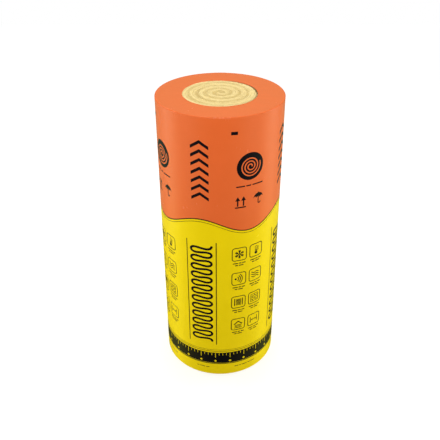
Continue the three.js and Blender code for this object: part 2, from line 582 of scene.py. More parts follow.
def chevrons(plate):
    """A column of chevrons that shows which end is up."""
    foot, count, half, rise, weight, pitch = 876.0, 7, 34.0, 22.0, 13.0, 34.0
    for i in range(count):
        z = foot + i * pitch
        plate.add(BLACK, [
            (STRIP_X - half, z), (STRIP_X, z + rise), (STRIP_X + half, z),
            (STRIP_X + half, z + weight), (STRIP_X, z + rise + weight), (STRIP_X - half, z + weight),
        ])


def small_marks(plate):
    """The plain mark that a packing machine reads, and small bars under the band."""
    mark_aside, mark_z, mark_width, mark_height = 30.0, 1142.0, 24.0, 12.0
    bars_z, bar_height, bar_gap = 42.0, 3.2, 3.4
    plate.add(BLACK, box(-TILE / 2 + mark_aside, mark_z, mark_width, mark_height))
    for x, bars in ((ICONS_X, (18, 9, 26, 12, 20)), (STRIP_X, (10, 24, 15))):
        plate.dashes(x, bars_z, bars, bar_height, bar_gap)


def print_plate():
    plate = Plate()
    for part in (fields, border_lines, measuring_band, insulation_strip, icon_block,
                 handling_marks, chevrons, small_marks):
        part(plate)
    return plate


def with_steps(outline):
    """The same outline with no stretch so long that it would cut through the round film."""
    points = []
    for start, end in zip(outline, np.roll(outline, -1, axis=0)):
        on_rim = any(abs(start[1] - rim) + abs(end[1] - rim) < NEAR for rim in (LOW, HIGH))
        steps = 1 if on_rim else max(1, math.ceil(np.abs(end - start).max() / SIDE_STEP))
        points += [start + (end - start) * i / steps for i in range(steps)]
    return points


def cut_plate(plate):
    """One repeat of the film, cut along every printed outline.

    Returns its points, its triangles, and for each triangle its field and whether ink covers it.
    """
    half = TILE / 2
    heights = np.linspace(LOW, HIGH, round((HIGH - LOW) / SIDE_STEP) + 1)
    inner = np.linspace(-half, half, round(TILE / SIDE_STEP) + 1)
    rim = np.linspace(-half, half, RIM_STEPS + 1)
    border = [(x, LOW) for x in rim] + [(half, z) for z in heights[1:]]
    border += [(x, HIGH) for x in rim[::-1][1:]] + [(-half, z) for z in heights[::-1][1:-1]]
    edges = [(i, (i + 1) % len(border)) for i in range(len(border))]
    points = border
    for i, z in enumerate(heights[1:-1]):
        shift = (i % 2) * (inner[1] - inner[0]) / 2
        points += [(x + shift, z) for x in inner[1:-1]]
    outlines = []
    for _, outline in plate.shapes:
        first = len(points)
        points += [tuple(p) for p in with_steps(outline)]
        outlines.append(list(range(first, len(points))))
    keep_inside, weld_within, give_origins = 0, 1e-4, True
    made = delaunay_2d_cdt(
        [Vector(p) for p in points], edges, outlines, keep_inside, weld_within, give_origins)
    corners, triangles, covering = made[0], made[2], made[5]
    field, inked = [], []
    for over in covering:
        inks = [plate.shapes[i][0] for i in sorted(over)]
        field.append(max(ink for ink in inks if ink in (YELLOW, ORANGE)))
        inked.append(inks[-1] == BLACK)
    return np.array([tuple(p) for p in corners]), triangles, field, inked


# ---------------------------------------------------------------- film sleeve

def snapped(plate_points):
    """The plate's points with those on its border exactly on it, and evenly spaced along the rims."""
    x, z = plate_points.T
    half = TILE / 2
    x = np.where(np.abs(x) > half - NEAR, np.sign(x) * half, x)
    z = np.where(z < LOW + NEAR, LOW, np.where(z > HIGH - NEAR, HIGH, z))
    rim_step = TILE / RIM_STEPS
    on_rim = (z == LOW) | (z == HIGH)
    x = np.where(on_rim, np.round((x + half) / rim_step) * rim_step - half, x)
    return x, z


def sleeve_grid():
    """The film's points as (turned, along), its faces, and each face's field and whether ink covers it."""
    points, faces, field, inked = [], [], [], []
    plate_points, triangles, plate_field, plate_ink = cut_plate(print_plate())
    x, z = snapped(plate_points)
    for tile in range(REPEATS):
        first = tile * len(x)
        turned = (x / TILE + 0.5 + tile) * FULL_TURN / REPEATS
        points.append(np.stack([turned, z - ROLL_HEIGHT / 2], 1))
        faces += [[first + i for i in t] for t in triangles]
        field += plate_field
        inked += plate_ink
    columns = REPEATS * RIM_STEPS
    wide = columns + 1
    turned = np.arange(wide) / columns * FULL_TURN
    marks = (EDGE_START, RING_START, HEM_START, TAIL_START, FILM_END)
    rows = (EDGE_ROWS, RING_ROWS, HEM_ROWS, TAIL_ROWS)
    stations = [np.linspace(*ends, count + 1)[:-1] for *ends, count in zip(marks, marks[1:], rows)]
    stations = np.concatenate([*stations, [FILM_END]])
    for side, colour in ((1, ORANGE), (-1, YELLOW)):
        first = sum(map(len, points))
        points.append(np.stack(np.meshgrid(turned, side * stations), -1).reshape(-1, 2))
        for row in range(len(stations) - 1):
            for a in range(first + row * wide, first + row * wide + columns):
                quad = [a, a + 1, a + 1 + wide, a + wide]
                faces.append(quad if side > 0 else quad[::-1])
        added = (len(stations) - 1) * columns
        field += [colour] * added
        inked += [False] * added
    points, numbers = welded(np.concatenate(points), (1e6, 1e3))
    return points, [[numbers[i] for i in face] for face in faces], field, inked


def welded(points, fineness):
    """Points with those that coincide made one, and for each old point the number of its new one.

    The fineness is how many steps of each coordinate's unit are told apart.
    """
    keys = np.round(points * fineness).astype(np.int64)
    _, first, numbers = np.unique(keys, axis=0, return_index=True, return_inverse=True)
    return points[first], numbers.ravel().tolist()


def lap_edge(points):
    """The narrow faces that close the step at the lap's free edge."""
    lower, upper = (
        sorted(np.flatnonzero(np.abs(points[:, 0] - turned) < 1e-6).tolist(), key=lambda i: points[i, 1])
        for turned in (0.0, FULL_TURN)
    )
    return [[upper[k], lower[k], lower[k + 1], upper[k + 1]] for k in range(len(lower) - 1)]


def lay_out_film(made, points):
    """Two flat layouts of a film mesh: its own coordinates in metres, and one for baked textures.

    The baked one has the side above, and the two ends below it, from the rim in to the hem.
    """
    margin = LAYOUT_MARGIN
    whole = 2 * HALF_SIDE + 2 * ROLL_RADIUS + 3 * margin
    turned, along = points[corner_points(made.data)].T
    add_layout(made, "film", np.stack([turned * ROLL_RADIUS, along], 1) * MM)
    side_foot = along + HALF_SIDE + 2 * ROLL_RADIUS + 2 * margin
    on_side = np.stack([turned * ROLL_RADIUS + margin, side_foot], 1)
    centre = np.where(along > 0, 1, 3) * (margin + ROLL_RADIUS)
    r = ROLL_RADIUS - (np.abs(along) - EDGE_START)
    on_end = np.stack([centre + r * np.sin(turned), margin + ROLL_RADIUS - r * np.cos(turned)], 1)
    side_faces = face_largest(made.data, np.abs(along)) <= EDGE_START + NEAR
    add_layout(made, "OFBake", np.where(side_faces[:, None], on_side, on_end) / whole)


def add_rub_and_highlight(made, points):
    """Marks where handling rubs the film and where a highlight is painted: over the rounded end edges, in
    patches.
    """
    turned, along = points.T
    share = turned / FULL_TURN
    from_edge = np.abs(np.abs(along) - EDGE_START - EDGE_LENGTH / 2)
    own_row = np.sign(along) * 7.5  # of the noise, for each end
    patchy = ease(noise(share * RUB_AND_HIGHLIGHT_PATCHES, own_row, 17, RUB_AND_HIGHLIGHT_PATCHES), -0.5, 1.0)
    patches = RUB_AND_HIGHLIGHT_LEAST + (1 - RUB_AND_HIGHLIGHT_LEAST) * patchy
    grain = film_noise(share, along, ((RUB_AND_HIGHLIGHT_GRAIN, RUB_AND_HIGHLIGHT_GRAINS, RUB_AND_HIGHLIGHT_GRAIN_LENGTH, 18),))
    rub_and_highlight = (1 - ease(from_edge, *RUB_AND_HIGHLIGHT_REACH)) * patches * (1 - RUB_AND_HIGHLIGHT_GRAIN + grain)
    mark_points(made, "rub_and_highlight", np.clip(rub_and_highlight, 0, 1))


def shade_as_surface(made, points, flat_faces=0):
    """Gives a film mesh the normals of the surface that it samples, but for its last flat faces."""
    mesh = made.data
    corner_normals = film_normal(*points.T)[corner_points(mesh)]
    for index in range(len(mesh.polygons) - flat_faces, len(mesh.polygons)):
        face = mesh.polygons[index]
        corner_normals[face.loop_start:face.loop_start + face.loop_total] = face.normal
    mesh.normals_split_custom_set(corner_normals.tolist())


def finish_film(made, points, flat_faces=0):
    lay_out_film(made, points)
    add_rub_and_highlight(made, points)
    shade_as_surface(made, points, flat_faces)
    return made


def printed_film(grid, orange, yellow):
    points, faces, field, _ = grid
    step = lap_edge(points)
    border = WAVE_HEIGHT - ROLL_HEIGHT / 2
    field = field + [ORANGE if points[face[0], 1] > border else YELLOW for face in step]
    made = make_mesh("printed_film", film_point(*points.T), faces + step, (yellow, orange), field)
    return finish_film(made, points, len(step))


def black_print(grid, ink):
    """The black ink as a skin just off the film, on the film's own triangles."""
    points, faces, _, inked = grid
    shown = [face for face, on in zip(faces, inked) if on]
    used, numbers = np.unique(np.array(shown), return_inverse=True)
    points, faces = points[used], numbers.reshape(-1, 3).tolist()
    return finish_film(make_mesh("black_print", film_point(*points.T, INK_LIFT), faces, (ink,)), points)


# ---------------------------------------------------------------- wound glass wool

WOOL_RADIUS = ROLL_RADIUS - WOOL_CLEARANCE
TURNS = math.ceil((WOOL_RADIUS - EYE_RADIUS) / TURN_PITCH)


def length_to(turned):
    """How much of the mat lies between the start of its first crease and this far round."""
    return EYE_RADIUS * turned + TURN_PITCH * turned ** 2 / (2 * FULL_TURN)


def crease_radius(turned):
    """Radius of the crease between two turns, this far round from its start."""
    wander = wool_noise(length_to(turned), 0.5, 0, CREASE_WANDERS)
    even = EYE_RADIUS + TURN_PITCH * turned / FULL_TURN
    shift = EYE_SHIFT[0] * np.cos(turned) + EYE_SHIFT[1] * np.sin(turned)
    return even + shift + wander * ease(turned, -WANDER_BEGINS, WANDER_BEGINS)


def place_in_mat(x, y):
    """Where points of an end lie in the wound mat: how far round, the share across, and its thickness."""
    angle = np.arctan2(y, x) % FULL_TURN
    r = np.hypot(x, y)
    turn = np.floor((r - EYE_RADIUS) / TURN_PITCH - angle / FULL_TURN)
    for _ in range(2):  # the creases wander, so the first guess may be a turn off
        turn = turn - (r < crease_radius(angle + FULL_TURN * turn))
        turn = turn + (r >= crease_radius(angle + FULL_TURN * (turn + 1)))
    turned = angle + FULL_TURN * turn
    inner, outer = crease_radius(turned), crease_radius(turned + FULL_TURN)
    return turned, np.clip((r - inner) / (outer - inner), 0, 1), outer - inner


def wool_shape(x, y, turned, across, thick, seed):
    """Relief of a wool end from the creases, the layers and the tufts, and each point's painted shade and
    tone.
    """
    length, r = length_to(turned), np.hypot(x, y)
    begins, begins_outside = (ease(t, *CREASE_OPENS) for t in (turned, turned + FULL_TURN))
    crease = begins * np.exp(-across * thick / CREASE_LIP)
    crease = crease + begins_outside * np.exp(-(1 - across) * thick / CREASE_LIP)
    # The film presses the creases shut near its hem.
    pressed = ease(r, OPENING_RADIUS - PRESS_WIDTH, OPENING_RADIUS - HEM_MARGIN)
    crease = crease * (1 - HEM_PRESS * pressed)
    middle = between(across, 0.0, 1.0, LIP_SHARE)
    layers = wool_noise(across * TURN_PITCH, length, seed, LAYERS)
    # Here and there the mat has split halfway through its thickness.
    split_at = 0.5 + SPLIT_STRAY * noise(length / SPLIT_STRAY_LENGTH, 0.5, seed + 3)
    split = np.exp(-(((across - split_at) * TURN_PITCH / SPLIT_WIDTH) ** 2))
    split = split * ease(noise(length / SPLIT_LENGTH, 1.5, seed + 4), *SPLIT_OPENS)
    relief = wool_noise(length, 0.5, seed, LEVELS) + wool_noise(x, y, seed, TUFTS)
    relief = relief + (LAYER_DEPTH * layers * middle - SPLIT_DEPTH * split) - CREASE_DEPTH * crease
    # Painted shade: darker towards each crease, more so over the innermost turns, round the eye, in the
    # splits and over low layers
    outer_half = ease(across, *HALFWAY)
    begun = begins * (1 - outer_half) + begins_outside * outer_half
    loose = 1.0 + INNER_CREASE_PAINTED_SHADE * (1 - ease(r, *INNER_CREASE_SHADE_REACH))
    near_crease = 0.5 + 0.5 * np.cos(FULL_TURN * across)
    painted_shade_and_tone = CREASE_PAINTED_SHADE * loose * begun * near_crease + GROOVE_PAINTED_SHADE * crease
    from_eye = np.hypot(x - EYE_SHADE_PLACE[0], y - EYE_SHADE_PLACE[1])
    painted_shade_and_tone = painted_shade_and_tone + EYE_PAINTED_SHADE * (1 - ease(from_eye, *EYE_SHADE_REACH)) - RIM_TONE * ease(r, *RIM_REACH)
    painted_shade_and_tone = painted_shade_and_tone + wool_noise(across * TURN_PITCH, length, seed, PATCHES)
    return relief, np.clip(painted_shade_and_tone + SPLIT_PAINTED_SHADE * split * middle - LAYER_PAINTED_SHADE * layers * middle, 0, 1)


def slack(x, y):
    """From 0 to 1, how far the upper end has sunk away from the hem."""
    angle = np.degrees(np.arctan2(y, x))
    there = np.max([share * between(angle, start, end, fade) for share, start, end, fade in SLACKS], 0)
    r = np.hypot(x, y)
    under_film = ease(r, OPENING_RADIUS + HEM_TAIL, OPENING_RADIUS + 3 * HEM_TAIL)
    return there * ease(r, OPENING_RADIUS - SLACK_WIDTH, OPENING_RADIUS - SLACK_EDGE) * (1 - under_film)


def end_level(r, bulge):
    """Height of the wool's end over the plane of the roll's: bulging in the opening, clear of the film."""
    crown = bulge - (bulge - HEM_BULGE) * np.clip(r / OPENING_RADIUS, 0, 1) ** BULGE_POWER
    under_hem = ease(r, OPENING_RADIUS - HEM_FIT, OPENING_RADIUS - HEM_RADIUS)
    past_hem = ease(r, *(OPENING_RADIUS + HEM_TAIL + past for past in TAIL_FIT))
    film_end = END_RISE if bulge > 0 else -FOOT_LIFT
    below_film = (film_end - 2 * HEM_RADIUS - UNDER_HEM) * (1 - past_hem) - UNDER_FILM * past_hem
    over_edge = np.clip((r - WOOL_RADIUS + EDGE_RADIUS) / EDGE_RADIUS, 0, 1)
    rounding = EDGE_RADIUS * (1 - np.sqrt(1 - over_edge ** 2))
    return crown * (1 - under_hem) + below_film * under_hem - rounding


def wool_height(x, y, above):
    """Height over the plane of the film's end, outward, and painted shade and tone."""
    seed, bulge = (UPPER_SEED, END_BULGE) if above else (LOWER_SEED, 0.0)
    relief, painted_shade_and_tone = wool_shape(x, y, *place_in_mat(x, y), seed)
    r = np.hypot(x, y)
    near_hem = ease(r, OPENING_RADIUS - WANDER_REACH, OPENING_RADIUS - HEM_MARGIN)
    r = r - hem_stray(np.arctan2(x, -y), 1 if above else -1) * near_hem
    hidden = ease(r, OPENING_RADIUS - HEM_FIT, OPENING_RADIUS - HEM_RADIUS)
    level = end_level(r, bulge)
    if above:
        level = level - SLACK_DEPTH * slack(x, y)
    return level + relief * (1 - hidden) - np.abs(relief) * hidden, painted_shade_and_tone


def end_points(x, y, height, above):
    """Points at this height over the plane of an end, outward, and clear of the floor."""
    z = ROLL_HEIGHT + height if above else np.maximum(-height, FOOT_GAP)
    return np.stack([x, y, z], -1)


def spiral_grid():
    """Points of one end in rows along the wound mat, its faces, and each face corner's place in the mat."""
    first_turn = -2  # it covers the last of the eye
    rows = (TURNS - first_turn + 1) * MAT_ROWS
    high = rows + 1
    angle = np.arange(MAT_COLUMNS)[:, None] / MAT_COLUMNS * FULL_TURN
    turn, step = np.divmod(np.arange(high), MAT_ROWS)
    turned = angle + FULL_TURN * (turn + first_turn)
    inner, outer = crease_radius(turned), crease_radius(turned + FULL_TURN)
    r = np.clip(inner + (outer - inner) * step / MAT_ROWS, 0, WOOL_RADIUS)
    points = np.stack([r * np.cos(angle), r * np.sin(angle)], -1).reshape(-1, 2)
    faces, places = [], []
    for column in range(MAT_COLUMNS):
        last = column == MAT_COLUMNS - 1
        for row in range(rows - (MAT_ROWS if last else 0)):
            a = column * high + row
            b = row + MAT_ROWS if last else a + high
            face = (a, b, b + 1, a + 1)
            reach = [r.flat[i] for i in face]
            if max(reach) <= 0 or min(reach) >= WOOL_RADIUS:
                continue
            faces.append(face)
            whole_turns = row // MAT_ROWS + first_turn
            along = [(column + aside) / MAT_COLUMNS + whole_turns for aside in (0, 1, 1, 0)]
            up = [(row % MAT_ROWS + above) / MAT_ROWS for above in (0, 0, 1, 1)]
            places.append([(FULL_TURN * t, share) for t, share in zip(along, up)])
    return points, faces, places


def without_doubles(points, faces, places):
    """The same faces on points that are all apart; faces that have shrunk to a line are left out."""
    points, numbers = welded(points, 1e4)
    kept, kept_places = [], []
    for face, place in zip(faces, places):
        ids = [numbers[i] for i in face]
        corners = [k for k in range(4) if ids[k] != ids[k - 1]]
        if len(corners) > 2:
            kept.append([ids[k] for k in corners])
            kept_places.append([place[k] for k in corners])
    return points, kept, kept_places


def wool_end(grid, above):
    """One end's points, its faces, each face corner's place in the mat, and the points' painted shade and
    tone.
    """
    points, faces, places = grid
    x, y = points.T
    height, painted_shade_and_tone = wool_height(x, y, above)
    if not above:
        faces = [face[::-1] for face in faces]
        places = [place[::-1] for place in places]
    return end_points(x, y, height, above), faces, places, painted_shade_and_tone


def rim_of(points):
    """The points round an end's outer edge, in order."""
    r = np.hypot(points[:, 0], points[:, 1])
    on_rim = np.flatnonzero(r > WOOL_RADIUS - NEAR)
    angle = np.arctan2(points[on_rim, 1], points[on_rim, 0]) % FULL_TURN
    return on_rim[np.argsort(np.round(angle, 5) % FULL_TURN)].tolist()


def wound_wool(material):
    grid = without_doubles(*spiral_grid())
    upper, upper_faces, upper_places, upper_shade_and_tone = wool_end(grid, True)
    lower, lower_faces, lower_places, lower_shade_and_tone = wool_end(grid, False)
    count = len(upper)
    points, painted_shade_and_tone = [upper, lower], [upper_shade_and_tone, lower_shade_and_tone]
    faces = upper_faces + [[count + i for i in face] for face in lower_faces]
    places = upper_places + lower_places
    # The outermost turn's side, between the two ends.
    rim = rim_of(upper)
    wide = len(rim)
    rows = [rim]
    for row in range(1, WALL_ROWS):
        share = row / WALL_ROWS
        points.append(upper[rim] * (1 - share) + lower[rim] * share)
        painted_shade_and_tone.append(np.zeros(wide))
        first = 2 * count + (row - 1) * wide
        rows.append(list(range(first, first + wide)))
    rows.append([count + i for i in rim])
    for low, high in zip(rows[1:], rows[:-1]):
        for i in range(wide):
            k = (i + 1) % wide
            faces.append([low[i], low[k], high[k], high[i]])
            places.append([(0.0, 0.0)] * 4)
    made = make_mesh("wound_wool", np.concatenate(points), faces, (material,))
    # Each point's painted shade and tone, for the material
    mark_points(made, "painted_shade_and_tone", np.concatenate(painted_shade_and_tone))
    lay_out_wool(made, places, len(upper_faces), len(lower_faces))
    return made


def lay_out_wool(made, places, upper_faces, lower_faces):
    """Two flat layouts of the wool: along the mat in metres, and one for baked textures.

    The baked one has the two ends below, side by side, and the side above them. What shows of an end
    fills most of its square, and the rest is squeezed round it.
    """
    mesh = made.data
    turned, across = np.array([corner for place in places for corner in place]).T
    add_layout(made, "mat", np.stack([length_to(turned), across * TURN_PITCH], 1) * MM)
    at = np.empty(len(mesh.vertices) * 3, np.float32)
    mesh.vertices.foreach_get("co", at)
    x, y, z = at.reshape(-1, 3)[corner_points(mesh)].T / MM
    part = [0] * upper_faces + [1] * lower_faces + [2] * (len(places) - upper_faces - lower_faces)
    part = np.repeat(part, [len(place) for place in places])
    seen, seen_share, squeezed_share, centre = OPENING_RADIUS + HEM_TAIL, 0.21, 0.03, 0.25
    r = np.hypot(x, y)
    laid = np.minimum(r, seen) / seen * seen_share
    laid = laid + np.maximum(r - seen, 0) / (WOOL_RADIUS - seen) * squeezed_share
    size = laid / np.maximum(r, 1e-6)
    ends = np.stack([centre + 0.5 * (part == 1) + x * size, centre + y * size], 1)
    wide, aside, foot, tall = 0.9, 0.04, 0.55, 0.4
    angle = np.arctan2(y, x) % FULL_TURN
    angle = angle + (face_largest(mesh, angle) - angle > math.pi) * FULL_TURN
    wall = np.stack([angle / FULL_TURN * wide + aside, foot + tall * z / ROLL_HEIGHT], 1)
    add_layout(made, "OFBake", np.where((part == 2)[:, None], wall, ends))


# ---------------------------------------------------------------- loose strands

def strand_lines(above, seed):
    """Centre lines of the strands that lie loose on one end of the wool."""
    rng = np.random.default_rng(seed)
    r = (OPENING_RADIUS - HEM_MARGIN) * np.sqrt(rng.uniform(0, 1, STRANDS))
    angle = rng.uniform(0, FULL_TURN, STRANDS)
    heading = angle + math.pi / 2 + rng.normal(0, STRAND_AIM, STRANDS)
    length = rng.uniform(*STRAND_LENGTH, STRANDS)
    bend = rng.normal(0, STRAND_BEND, STRANDS)
    lift = rng.gamma(*STRAND_LIFT, (STRANDS, 2))
    step = np.linspace(-0.5, 0.5, STRAND_POINTS)
    along = step * length[:, None]
    way = heading[:, None] + bend[:, None] * along
    x = (r * np.cos(angle))[:, None] + along * np.cos(way)
    y = (r * np.sin(angle))[:, None] + along * np.sin(way)
    out = np.maximum(np.hypot(x, y) / (OPENING_RADIUS - STRAND_REACH), 1)
    x, y = x / out, y / out
    height, _ = wool_height(x, y, above)
    # A strand is too stiff to follow a narrow crease, and bridges it.
    height = np.maximum(height, height.mean(1, keepdims=True) - STRAND_DIP)
    to_ends = np.abs(step * 2) ** 2
    height = height + STRAND_REST + np.where(step < 0, lift[:, :1], lift[:, 1:]) * to_ends
    return end_points(x, y, height, above)


def loose_strands(material):
    lines = np.concatenate([strand_lines(True, 81), strand_lines(False, 82)])
    rng = np.random.default_rng(83)
    thick = rng.uniform(*STRAND_RADIUS, len(lines))
    forward = np.gradient(lines, axis=1)
    forward /= np.linalg.norm(forward, axis=2, keepdims=True)
    aside = np.cross(forward, (0, 0, 1))
    aside /= np.linalg.norm(aside, axis=2, keepdims=True)
    upward = np.cross(aside, forward)
    taper = 1 - STRAND_TAPER * np.abs(np.linspace(-1, 1, STRAND_POINTS)) ** 3
    sides = 3
    rings = []
    for side in range(sides):
        turn = FULL_TURN * side / sides + math.pi / 2
        away = aside * math.cos(turn) + upward * math.sin(turn)
        rings.append(lines + away * (thick[:, None] * taper)[:, :, None])
    points = np.stack(rings, 2).reshape(-1, 3)
    faces = []
    for strand in range(len(lines)):
        first = strand * STRAND_POINTS * sides
        for i in range(STRAND_POINTS - 1):
            for side in range(sides):
                a, b = first + sides * i + side, first + sides * i + (side + 1) % sides
                faces.append([a, b, b + sides, a + sides])
        end = first + sides * (STRAND_POINTS - 1)
        faces += [[first + 2, first + 1, first], [end, end + 1, end + 2]]
    made = make_mesh("loose_strands", points, faces, (material,))
    mark_points(made, "shade", np.repeat(rng.uniform(0, 1, len(lines)), STRAND_POINTS * sides))
    return made


# ---------------------------------------------------------------- materials

def srgb(red, green, blue):
    """A colour given as it looks on a screen, from 0 to 255."""
    def linear(value):
        share = value / 255
        return share / 12.92 if share <= 0.04045 else ((share + 0.055) / 1.055) ** 2.4
    return (linear(red), linear(green), linear(blue), 1.0)


# The rubbed colours are paler: partly wear, partly a highlight painted along the rounded edges
ORANGE_INK, ORANGE_RUB_AND_HIGHLIGHT = srgb(241, 108, 46), srgb(250, 158, 108)
YELLOW_INK, YELLOW_RUB_AND_HIGHLIGHT = srgb(252, 221, 11), srgb(252, 236, 120)
BLACK_INK, BLACK_RUB_AND_HIGHLIGHT = srgb(13, 14, 19), srgb(60, 60, 64)
# The deep wool colour is both the darker random tone and the painted shade of the ends
WOOL_PALE, WOOL_DEEP_AND_SHADED = srgb(253, 233, 170), srgb(215, 188, 121)
STRAND_PALE = srgb(250, 234, 184)
WHITE, NO_COLOUR = (1.0, 1.0, 1.0, 1.0), (0.0, 0.0, 0.0, 1.0)
# The inks lie under the film's clear face and tint what it reflects
ORANGE_SHINE = (1.0, 0.97, 1.0, 1.0)
YELLOW_SHINE = (1.0, 1.0, 0.05, 1.0)
BLACK_SHINE = (1.0, 0.5, 0.8, 1.0)
BLACK_LEVEL = 0.15  # the black is printed over them and is duller


class Nodes:
    """A short way to add nodes to a tree and link them."""

    def __init__(self, tree):
        self.tree = tree

    def add(self, kind, **settings):
        node = self.tree.nodes.new(kind)
        for name, value in settings.items():
            setattr(node, name, value)
        return node

    def feed(self, socket, value):
        if isinstance(value, bpy.types.NodeSocket):
            self.tree.links.new(value, socket)
        else:
            socket.default_value = value

    def fill(self, node, values):
        """Feeds a node's inputs, given by name or number."""
        for name, value in values.items():
            self.feed(node.inputs[name], value)
        return node

    def math(self, operation, *values, clamp=False):
        node = self.add("ShaderNodeMath", operation=operation, use_clamp=clamp)
        return self.fill(node, dict(enumerate(values))).outputs[0]

    def remap(self, value, low, high, to_low=0.0, to_high=1.0):
        """Smoothly from to_low, up to low, to to_high, from high on."""
        node = self.add("ShaderNodeMapRange", interpolation_type="SMOOTHSTEP")
        return self.fill(node, dict(enumerate((value, low, high, to_low, to_high)))).outputs[0]

    def mix(self, share, first, second):
        node = self.add("ShaderNodeMix", data_type="RGBA")
        return self.fill(node, {"Factor": share, 6: first, 7: second}).outputs[2]

    def mix_numbers(self, share, first, second):
        node = self.add("ShaderNodeMix", data_type="FLOAT")
        return self.fill(node, {"Factor": share, 2: first, 3: second}).outputs[0]

    def noise(self, place, scale=1.0, detail=2.0, roughness=0.5):
        settings = {"Vector": place, "Scale": scale, "Detail": detail, "Roughness": roughness}
        return self.fill(self.add("ShaderNodeTexNoise"), settings).outputs[0]

    def stretched(self, place, x, y, z=1.0):
        return self.fill(self.add("ShaderNodeMapping"), {"Vector": place, "Scale": (x, y, z)}).outputs[0]

    def attribute(self, name):
        return self.add("ShaderNodeAttribute", attribute_name=name).outputs["Fac"]

    def layout(self, name):
        return self.add("ShaderNodeUVMap", uv_map=name).outputs[0]

    def object_place(self):
        return self.add("ShaderNodeTexCoord").outputs["Object"]

    def bump(self, shader, height, strength, distance):
        bump = self.add("ShaderNodeBump")
        self.fill(bump, {"Strength": strength, "Distance": distance, "Height": height})
        self.feed(shader.inputs["Normal"], bump.outputs[0])


def node_group(name, inputs, outputs):
    """A shader group with sockets given as {name: value}; a colour is a tuple and a number a float."""
    group = bpy.data.node_groups.new(name, "ShaderNodeTree")
    for direction, sockets in (("INPUT", inputs), ("OUTPUT", outputs)):
        for socket_name, value in sockets.items():
            kind = "NodeSocketColor" if isinstance(value, tuple) else "NodeSocketFloat"
            socket = group.interface.new_socket(socket_name, in_out=direction, socket_type=kind)
            if direction == "INPUT":
                socket.default_value = value
    nodes = Nodes(group)
    return group, nodes, nodes.add("NodeGroupInput").outputs, nodes.add("NodeGroupOutput").inputs


def new_material(name):
    """A new material, its nodes and its Principled BSDF."""
    material = bpy.data.materials.new(name)
    material.use_nodes = True
    return material, Nodes(material.node_tree), material.node_tree.nodes["Principled BSDF"]


def film_finish_group():
    """Printed film: mottled ink, lines of tension round the roll, dull scuffs, and rubbed edges whose paler
    colour is partly a painted highlight.
    """
    group, nodes, given, out = node_group(
        "film_finish",
        {"Colour": WHITE, "Rub and highlight colour": WHITE, "Roughness": 0.22, "Mottle": 0.05},
        {"Colour": NO_COLOUR, "Roughness": 0.0, "Height": 0.0},
    )
    scuff_wear, rub_and_highlight_share = 0.07, 0.06
    mottle_dulls, wear_dulls = 0.1, 0.5
    tension_height, crease_height, grain_height = 0.5, 0.35, 0.02
    place = nodes.layout("film")
    rub_and_highlight = nodes.attribute("rub_and_highlight")
    broad = nodes.noise(place, scale=14.0, detail=3.0)
    grain = nodes.noise(place, scale=900.0)
    tension = nodes.noise(nodes.stretched(place, 3.0, 130.0), detail=3.0, roughness=0.6)
    creases = nodes.noise(nodes.stretched(place, 22.0, 60.0), detail=4.0, roughness=0.65)
    scuffs = nodes.noise(nodes.stretched(place, 260.0, 40.0), detail=3.0)
    scuffs = nodes.remap(scuffs, low=0.62, high=0.74)
    scuffed = nodes.remap(nodes.noise(place, scale=9.0), low=0.5, high=0.64)
    scuffs = nodes.math("MULTIPLY", scuffs, scuffed)
    shade = nodes.math("MULTIPLY_ADD", nodes.math("SUBTRACT", broad, 0.5), given["Mottle"], 1.0)
    tinted = nodes.add("ShaderNodeVectorMath", operation="SCALE")
    nodes.fill(tinted, {0: given["Colour"], "Scale": shade})
    # Along the rounded edges the rubbed colour is wear and a painted highlight
    rub_and_highlight = nodes.math("MULTIPLY", rub_and_highlight, rub_and_highlight_share)
    worn_and_highlighted = nodes.math("MULTIPLY_ADD", scuffs, scuff_wear, rub_and_highlight, clamp=True)
    nodes.feed(out["Colour"], nodes.mix(worn_and_highlighted, tinted.outputs[0], given["Rub and highlight colour"]))
    dull = nodes.math("MULTIPLY_ADD", broad, mottle_dulls, nodes.math("MULTIPLY", worn_and_highlighted, wear_dulls))
    nodes.feed(out["Roughness"], nodes.math("ADD", given["Roughness"], dull, clamp=True))
    creases = nodes.math("MULTIPLY", creases, crease_height)
    height = nodes.math("MULTIPLY_ADD", tension, tension_height, creases)
    nodes.feed(out["Height"], nodes.math("MULTIPLY_ADD", grain, grain_height, height))
    return group


def film_material(name, group, colour, rub_and_highlight_colour, shine, level=0.5, roughness=0.2, mottle=0.06):
    material, nodes, shader = new_material(name)
    finish = nodes.add("ShaderNodeGroup", node_tree=group)
    nodes.fill(finish, {
        "Colour": colour,
        "Rub and highlight colour": rub_and_highlight_colour,
        "Roughness": roughness,
        "Mottle": mottle,
    })
    nodes.fill(shader, {
        "Base Color": finish.outputs["Colour"],
        "Roughness": finish.outputs["Roughness"],
        "IOR": 1.5,
        "Specular IOR Level": level,
        "Specular Tint": shine,
    })
    nodes.bump(shader, finish.outputs["Height"], strength=0.35, distance=0.0004)
    return material


